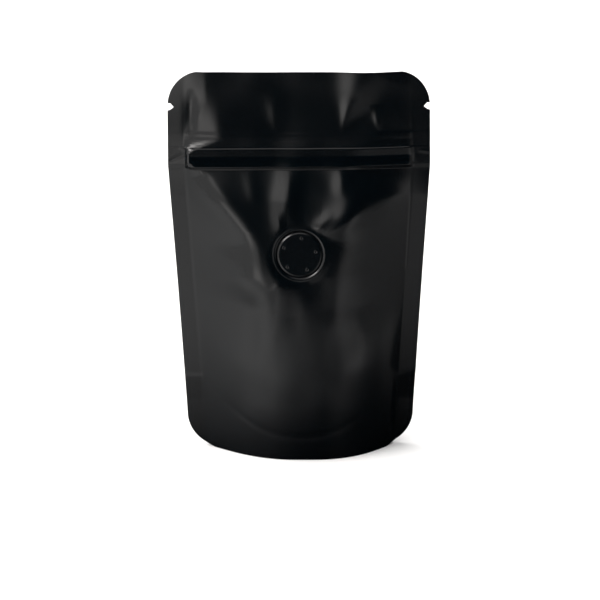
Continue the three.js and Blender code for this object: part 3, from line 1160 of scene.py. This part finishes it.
@dataclass(frozen=True)
class Studio:
    """A pale floor with painted shade in its reflections, soft light and the camera.

    Angles are in degrees, the camera's lengths in millimetres and the floor's and the lamp's in metres.
    """

    aim: Triple = (0.1, -4.32, 59.63)
    middle: float = 74.5
    distance: float = 1800.0
    elevation: float = 16.2
    roll: float = -0.3
    lens: float = 281.7
    softboxes: tuple[Softbox, ...] = (
        Softbox((-100.0, -11.0), (-8.0, 26.0), 1.1),
        Softbox((-62.0, -20.0), (8.0, 36.0), 1.1),
        Softbox((-29.0, -14.0), (-6.0, 10.0), 2.7, 3.0),
        Softbox((-32.0, -11.0), (26.0, 58.0), 2.0, 7.0),
        Softbox((-100.0, -58.0), (20.0, 34.0), 1.6),
        Softbox((-85.0, -42.0), (40.0, 60.0), 10.0),
        Softbox((29.0, 45.0), (-6.0, 4.0), 0.85),
        Softbox((45.0, 100.0), (-6.0, 10.0), 0.32),
    )
    horizon_top: Pair = (-4.0, 1.0)
    # Horizon light by azimuth; the same curve is painted shade on the floor in the film's reflections
    round_about: tuple[Pair, ...] = (
        (-90.0, 0.36), (-78.0, 0.44), (-58.0, 0.64), (-34.0, 0.64), (-20.0, 0.4), (-5.0, 0.28),
        (18.0, 0.1), (27.0, 0.16), (36.0, 0.46), (46.0, 0.28), (58.0, 0.17), (76.0, 0.14), (90.0, 0.1),
    )
    glow_colour: Triple = (0.85, 0.823, 0.802)
    sky: float = 0.01
    overhead: float = 1.2
    overhead_from: Pair = (58.0, 70.0)
    floor_half: float = 4.0
    floor_tone: float = 0.9
    floor_roughness: float = 0.9
    # Painted shadow on the floor, seen only in the film's reflections: darker, down to this tone, within
    # this reach of a point a little right of the middle
    painted_shadow_reach: Pair = (0.02, 0.22)
    painted_shadow_tone: float = 0.06
    painted_shadow_middle: Triple = (0.03, 0.0, 0.0)
    lamp_place: Triple = (0.0, 0.2, 2.2)
    lamp_size: float = 3.4
    lamp_watts: float = 75.0

    def dimming(self, web: NodeWeb, azimuth: Socket) -> Socket:
        """Brightness of the horizon light, and the floor's painted shade in reflections, all round: least
        ahead and a little to the right.

        Args:
            web: The tree to add to.
            azimuth: Angle to the right of the y axis in degrees.

        Returns:
            The brightness, a smooth curve near the values of round_about.
        """
        share = web.math("MULTIPLY_ADD", azimuth, 1.0 / HALF_TURN, 0.5)
        node = web.add("ShaderNodeValToRGB", {"Fac": share})
        ramp = node.color_ramp
        ramp.interpolation = "B_SPLINE"
        while len(ramp.elements) < len(self.round_about):
            ramp.elements.new(1.0)
        for element, (angle, tone) in zip(ramp.elements, self.round_about):
            element.position = angle / HALF_TURN + 0.5
            element.color = (tone, tone, tone, 1.0)
        return node.outputs["Color"]

    def floor(self) -> None:
        """A wide pale floor, which the film mirrors dimmer close by and straight ahead: a painted shadow
        and painted shade that only its reflections see.
        """
        mesh = bpy.data.meshes.new("floor")
        half = self.floor_half
        corners = [(-half, -half, 0), (half, -half, 0), (half, half, 0), (-half, half, 0)]
        mesh.from_pydata(corners, [], [(0, 1, 2, 3)])
        floor = link(bpy.data.objects.new("floor", mesh))
        material = bpy.data.materials.new("pale_floor")
        material.use_nodes = True
        web = NodeWeb(material.node_tree)
        place = web.add("ShaderNodeTexCoord", {}).outputs["Object"]
        azimuth, _ = web.heading(place)
        # Painted shadow close by and painted shade straight ahead, for glossy rays only; the camera sees
        # the floor evenly pale
        inputs = {0: place, 1: self.painted_shadow_middle}
        away = web.add("ShaderNodeVectorMath", inputs, operation="DISTANCE").outputs["Value"]
        near = web.ease(away, *self.painted_shadow_reach, self.painted_shadow_tone, 1.0)
        seen = web.math("MULTIPLY", near, self.dimming(web, azimuth))
        glossy = web.add("ShaderNodeLightPath", {}).outputs["Is Glossy Ray"]
        tone = web.add("ShaderNodeMix", {"Factor": glossy, "A": self.floor_tone, "B": seen})
        web.feed(material.node_tree.nodes["Principled BSDF"], {
            "Base Color": tone.outputs["Result"],
            "Roughness": self.floor_roughness,
            "Specular IOR Level": 0.0,
        })
        mesh.materials.append(material)

    def camera(self) -> None:
        """The camera at the photograph's viewing angle."""
        data = bpy.data.cameras.new("camera")
        data.lens = self.lens
        camera = link(bpy.data.objects.new("camera", data))
        turn = math.radians(self.elevation)
        out = Vector((0.0, -math.cos(turn), math.sin(turn))) * self.distance
        place = out + Vector((0.0, 0.0, self.middle))
        view = (Vector(self.aim) - place).to_track_quat("-Z", "Y")
        roll = Quaternion((0.0, 0.0, 1.0), math.radians(self.roll))
        camera.location = place * MM
        camera.rotation_euler = (view @ roll).to_euler()
        bpy.context.scene.camera = camera

    def lamp(self) -> None:
        """A soft square lamp that faces down, and that the film doesn't mirror."""
        data = bpy.data.lights.new("top_light", "AREA")
        data.shape = "SQUARE"
        data.size = self.lamp_size
        data.energy = self.lamp_watts
        lamp = link(bpy.data.objects.new("top_light", data))
        lamp.location = self.lamp_place
        lamp.visible_glossy = False

    def world(self) -> None:
        """Surroundings that are white to the camera, and to the film a horizon, softboxes and dark sky."""
        world = bpy.data.worlds.new("studio")
        bpy.context.scene.world = world
        world.use_nodes = True
        web = NodeWeb(world.node_tree)
        web.tree.nodes.clear()
        azimuth, rise = web.heading(web.add("ShaderNodeTexCoord", {}).outputs["Generated"])
        elevation = web.math("DEGREES", web.math("ARCSINE", rise))
        band = web.ease(elevation, *self.horizon_top, 1.0, 0.0)
        total = web.math("MULTIPLY_ADD", band, self.dimming(web, azimuth), self.sky)
        for box in self.softboxes:
            total = web.math("MAXIMUM", total, box.glow(web, azimuth, elevation))
        total = web.math("ADD", total, web.ease(elevation, *self.overhead_from, 0.0, self.overhead))
        glow = web.add("ShaderNodeBackground", {"Color": (*self.glow_colour, 1.0), "Strength": total})
        white = web.add("ShaderNodeBackground", {"Strength": 1.0})
        camera = web.add("ShaderNodeLightPath", {}).outputs["Is Camera Ray"]
        shades = {0: camera, 1: glow.outputs["Background"], 2: white.outputs["Background"]}
        mix = web.add("ShaderNodeMixShader", shades)
        web.add("ShaderNodeOutputWorld", {"Surface": mix.outputs["Shader"]})

    def build(self) -> None:
        """Sets up the floor, the surroundings, the lamp and the camera."""
        self.floor()
        self.world()
        self.lamp()
        self.camera()
        bpy.context.scene.view_settings.view_transform = "Standard"


def main() -> None:
    """Builds and dresses the pouch, the valve and the studio."""
    logging.basicConfig(level=logging.INFO, format="%(message)s")
    seat = ValveSeat.of_node(ValveDisc.node)
    pouch = Pouch(Outline.of_node(Pouch.node), seat)
    disc = ValveDisc(seat.disc_radius)
    film, face = pouch.build(), disc.build(pouch)
    grain, knurl = grain_group(), knurl_group()
    pouch.dress(film, FilmFinish("black_film", roughness=0.175).material(grain, knurl))
    disc.dress(face, FilmFinish("valve_film", roughness=0.17).material(grain, knurl))
    for piece in (film, face):
        log.info("%s: %d faces", piece.name, len(piece.data.polygons))
    Studio().build()


if __name__ == "__main__":
    main()
